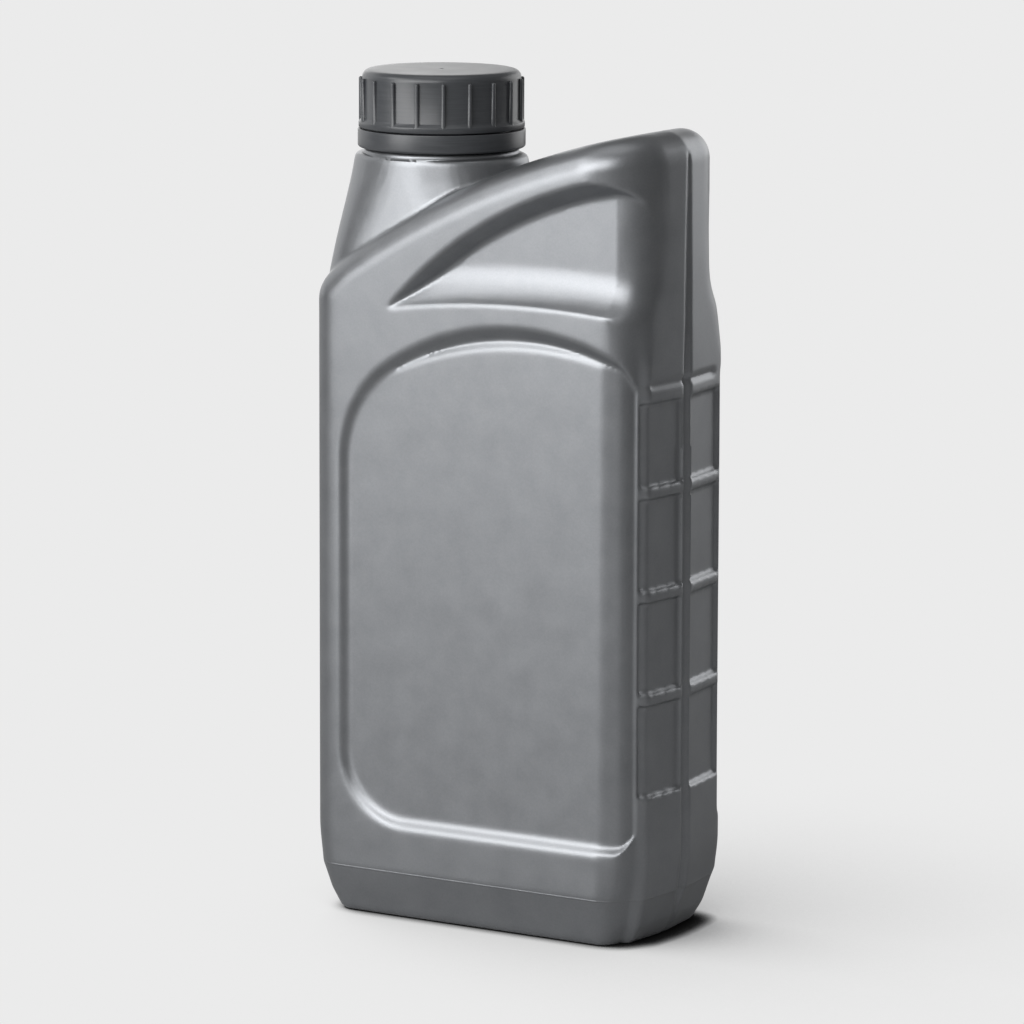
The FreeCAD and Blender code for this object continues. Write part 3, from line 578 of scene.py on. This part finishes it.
class OBJECT_OT_bottle_closure(bpy.types.Operator):
    """Closure: ribbed cap, tamper ring and sealing wad"""

    bl_idname = "object.bottle_closure"
    bl_label = "Cap, ring and wad"

    def execute(self, context):
        settings = context.scene.fluid_bottle_closure
        cap = self.cap(settings)
        dress(cap, charcoal_polypropylene(settings, "charcoal_pp_cap"), "cap", "cap_pp", "cap")
        ring = self.ring(settings)
        dress(ring, charcoal_polypropylene(settings, "charcoal_pp_ring"), "ring", "ring_pp", "tamper_ring")
        dress(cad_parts["cap_liner"], foam_polyethylene(), "wad", "liner_foam")
        return {"FINISHED"}

    def core(self, node, name, radius, low, high):
        """Inside of a CAD piece, up to a radius and between two heights, with its thread or hook."""
        core = to_object(merged_copy(node), name)
        combine(core, "INTERSECT", cylinder("reach", radius, low, high))
        return core

    def cap(self, settings):
        """Threaded core inside a turned skirt with a round shoulder, a foot band and slim ribs."""
        top, foot = CAP_HIGH.z, CAP_LOW.z
        skirt = CAP_RADIUS - settings.rib_reach
        shoulder = settings.shoulder
        bore = CAP_RADIUS - 2.4 * MM
        bore_top = top - 0.8 * MM
        gate_radius = 0.6 * MM
        gate_floor = top - 0.2 * MM
        band_edge = 0.5 * MM
        hem = 0.25 * MM
        # Flat top with the gate's small pit in its middle, then the shoulder.
        outline = [(0, gate_floor), (gate_radius / 2, gate_floor), (gate_radius, top)]
        outline += [(2 * gate_radius, top), (skirt - 2 * shoulder, top), (skirt - 0.9 * shoulder, top)]
        outline += arc((skirt - shoulder, top - shoulder), shoulder, 70, 0, 8)
        # Foot band, flared out from the skirt, with its hem.
        outline += [(skirt, foot + 3.0 * MM), (skirt + 0.15 * MM, foot + 2.7 * MM)]
        outline += arc((CAP_RADIUS - band_edge, foot + 1.5 * MM), band_edge, 50, 0, 4)
        outline += [(CAP_RADIUS, foot + hem), (CAP_RADIUS - hem, foot)]
        outline += [(bore, foot), (bore, bore_top), (0, bore_top)]
        cap = turned("ribbed_cap", outline, 12 * settings.ribs)
        core = self.core("cap", "thread", bore + 0.5 * MM, foot - 1 * MM, top - 0.4 * MM)
        combine(cap, "UNION", core, *self.ribs(settings, skirt, foot + 1 * MM, top - shoulder))
        return self.shaded(cap)

    def ribs(self, settings, skirt, low, high):
        """Slim round-headed ribs that stand half sunk in the skirt."""
        radius = settings.rib_reach - 0.42 * MM
        neck = high - radius
        outline = [(0, low), (radius, low)] + arc((0, neck), radius, 0, 90, 6)
        ribs = []
        for step in range(settings.ribs):
            turn = 2 * math.pi * step / settings.ribs
            middle = NECK + Vector((math.cos(turn), math.sin(turn), 0)) * (skirt + 0.4 * MM)
            ribs.append(turned("rib", outline, 20, axis=middle))
        return ribs

    def ring(self, settings):
        """Hooked core inside a plain turned band with eased edges."""
        top, foot = RING_HIGH.z + settings.seam_lift, RING_LOW.z - settings.ring_drop
        bore = RING_RADIUS - 1.6 * MM
        low_edge = 0.8 * MM
        high_edge = 0.3 * MM
        outline = [(bore, foot), (RING_RADIUS - 0.9 * MM, foot)]
        outline += arc((RING_RADIUS - low_edge, foot + low_edge), low_edge, -80, 0, 6)
        outline += arc((RING_RADIUS - high_edge, top - high_edge), high_edge, 0, 80, 3)
        outline += [(RING_RADIUS - 0.4 * MM, top), (bore, top)]
        ring = turned("tamper_band", outline, BAND_STEPS, closed=True)
        combine(ring, "UNION", self.core("tamper_ring", "hook", bore + 0.5 * MM, foot, top))
        return self.shaded(ring)

    def shaded(self, piece):
        """Piece shaded smooth between its sharp edges."""
        piece.data.shade_smooth()
        piece.data.set_sharp_from_angle(angle=SHARP_TURN)
        return piece


class OBJECT_OT_bottle_stage(bpy.types.Operator):
    """Stage: pale floor, soft lamps and the camera"""

    bl_idname = "object.bottle_stage"
    bl_label = "Stage"

    def execute(self, context):
        settings = context.scene.fluid_bottle_stage
        scene = context.scene
        self.floor(settings)
        self.world(scene, settings)
        self.lamps()
        self.camera(scene, settings)
        scene.view_settings.view_transform = "Standard"
        return {"FINISHED"}

    def floor(self, settings):
        """Pale floor with a painted soft shadow on the far side from the key lamp, darkest under the foot.
        """
        mesh = bmesh.new()
        bmesh.ops.create_circle(mesh, cap_ends=True, segments=64, radius=9.0)
        floor = to_object(mesh, "floor")
        material, output = new_material("pale_paper")
        tree = material.node_tree
        # The floor looks for the bottle towards the key lamp, so its painted shadow falls on the far side:
        # occlusion darkens the colour that the camera sees.
        lean = add(tree, "ShaderNodeVectorMath", {"operation": "NORMALIZE"}, _0=(-0.55, -0.30, 0.8))
        shade = add(tree, "ShaderNodeAmbientOcclusion", {"samples": 16}, Distance=0.22,
                    Normal=lean.outputs["Vector"])
        paper_and_painted_shadow = ramp(tree, shade.outputs["AO"], [(0.0, linear("#262628")), (0.35, linear("#8f8f90")),
                                                 (0.62, linear("#cfcfcf")), (0.90, linear(settings.floor))])
        # Painted contact shadow: a thin dark line under the foot, darkened by occlusion close by.
        contact = add(tree, "ShaderNodeAmbientOcclusion", {"samples": 16}, Distance=0.008,
                      Normal=lean.outputs["Vector"])
        line = ramp(tree, contact.outputs["AO"], [(0.0, linear("#080808")), (0.45, linear("#383838")),
                                                  (0.85, linear("#ffffff"))])
        both = add(tree, "ShaderNodeMix", {"data_type": "RGBA", "blend_type": "MULTIPLY"}, Factor=1.0)
        tree.links.new(paper_and_painted_shadow, both.inputs["A"])
        tree.links.new(line, both.inputs["B"])
        # The camera sees the floor's colour with both painted shadows as emission; other rays see a lit
        # grey floor.
        seen = add(tree, "ShaderNodeEmission", Color=both.outputs["Result"], Strength=1.0)
        lit = add(tree, "ShaderNodeBsdfDiffuse", Color=linear("#acacac"))
        path = add(tree, "ShaderNodeLightPath")
        mix = add(tree, "ShaderNodeMixShader", Fac=path.outputs["Is Camera Ray"])
        tree.links.new(lit.outputs["BSDF"], mix.inputs[1])
        tree.links.new(seen.outputs["Emission"], mix.inputs[2])
        tree.links.new(mix.outputs["Shader"], output.inputs["Surface"])
        floor.data.materials.append(material)

    def world(self, scene, settings):
        """Pale backdrop for the camera, dimmer room light for everything else."""
        world = bpy.data.worlds.new("studio")
        scene.world = world
        world.use_nodes = True
        tree = world.node_tree
        tree.nodes.clear()
        path = add(tree, "ShaderNodeLightPath")
        room = add(tree, "ShaderNodeBackground", Color=linear("#ffffff"), Strength=0.18)
        seen = add(tree, "ShaderNodeBackground", Color=linear(settings.floor), Strength=1.0)
        mix = add(tree, "ShaderNodeMixShader", Fac=path.outputs["Is Camera Ray"])
        tree.links.new(room.outputs["Background"], mix.inputs[1])
        tree.links.new(seen.outputs["Background"], mix.inputs[2])
        output = add(tree, "ShaderNodeOutputWorld")
        tree.links.new(mix.outputs["Shader"], output.inputs["Surface"])

    def lamps(self):
        """Softboxes round the middle of the bottle."""
        target = (CAD_BOX[0] + CAD_BOX[1]) / 2
        for name, azimuth, elevation, distance, width, height, radiance in LAMPS:
            data = bpy.data.lights.new(name, "AREA")
            data.shape = "RECTANGLE"
            data.size = width
            data.size_y = height
            data.energy = radiance * math.pi * width * height
            lamp = bpy.data.objects.new(name, data)
            bpy.context.scene.collection.objects.link(lamp)
            place = target + aim(azimuth, elevation) * distance
            lamp.matrix_world = look_at(place, target, 0.0)

    def camera(self, scene, settings):
        """Camera at its angle, distance and lens."""
        data = bpy.data.cameras.new("camera")
        data.lens = settings.lens
        data.sensor_width = 36.0
        data.clip_end = 50.0
        camera = bpy.data.objects.new("camera", data)
        scene.collection.objects.link(camera)
        way = aim(math.degrees(settings.camera_azimuth), math.degrees(settings.camera_elevation))
        place = CAMERA_TARGET + way * settings.camera_distance
        camera.matrix_world = look_at(place, CAMERA_TARGET, settings.camera_roll)
        scene.camera = camera


def aim(azimuth, elevation):
    """Unit vector at an azimuth from the front, growing towards +X, and an elevation, in degrees."""
    turn, rise = math.radians(azimuth), math.radians(elevation)
    return Vector((math.sin(turn) * math.cos(rise), -math.cos(turn) * math.cos(rise), math.sin(rise)))


def look_at(place, target, roll):
    """Matrix of a camera or a lamp at a place, looking at a target."""
    turn = (target - place).to_track_quat("-Z", "Y").to_matrix().to_4x4()
    return Matrix.Translation(place) @ turn @ Matrix.Rotation(roll, 4, "Z")


class VIEW3D_PT_fluid_bottle(bpy.types.Panel):
    """Sidebar panel that lists the bottle's pieces and their settings"""

    bl_label = "Fluid Bottle"
    bl_idname = "VIEW3D_PT_fluid_bottle"
    bl_space_type = "VIEW_3D"
    bl_region_type = "UI"
    bl_category = "Fluid Bottle"

    def draw(self, context):
        scene = context.scene
        for group, operator in ((scene.fluid_bottle, "object.bottle_skin"),
                                (scene.fluid_bottle_closure, "object.bottle_closure"),
                                (scene.fluid_bottle_stage, "object.bottle_stage")):
            for name in group.__annotations__:
                self.layout.prop(group, name)
            self.layout.operator(operator)


CLASSES = (BottleSettings, ClosureSettings, StageSettings, OBJECT_OT_bottle_skin, OBJECT_OT_bottle_closure,
           OBJECT_OT_bottle_stage, VIEW3D_PT_fluid_bottle)


def register():
    for item in CLASSES:
        bpy.utils.register_class(item)
    bpy.types.Scene.fluid_bottle = bpy.props.PointerProperty(type=BottleSettings)
    bpy.types.Scene.fluid_bottle_closure = bpy.props.PointerProperty(type=ClosureSettings)
    bpy.types.Scene.fluid_bottle_stage = bpy.props.PointerProperty(type=StageSettings)


def unregister():
    del bpy.types.Scene.fluid_bottle_stage
    del bpy.types.Scene.fluid_bottle_closure
    del bpy.types.Scene.fluid_bottle
    for item in reversed(CLASSES):
        bpy.utils.unregister_class(item)


def main():
    register()
    bpy.ops.object.bottle_stage()
    bpy.ops.object.bottle_skin()
    bpy.ops.object.bottle_closure()


if __name__ == "__main__":
    main()
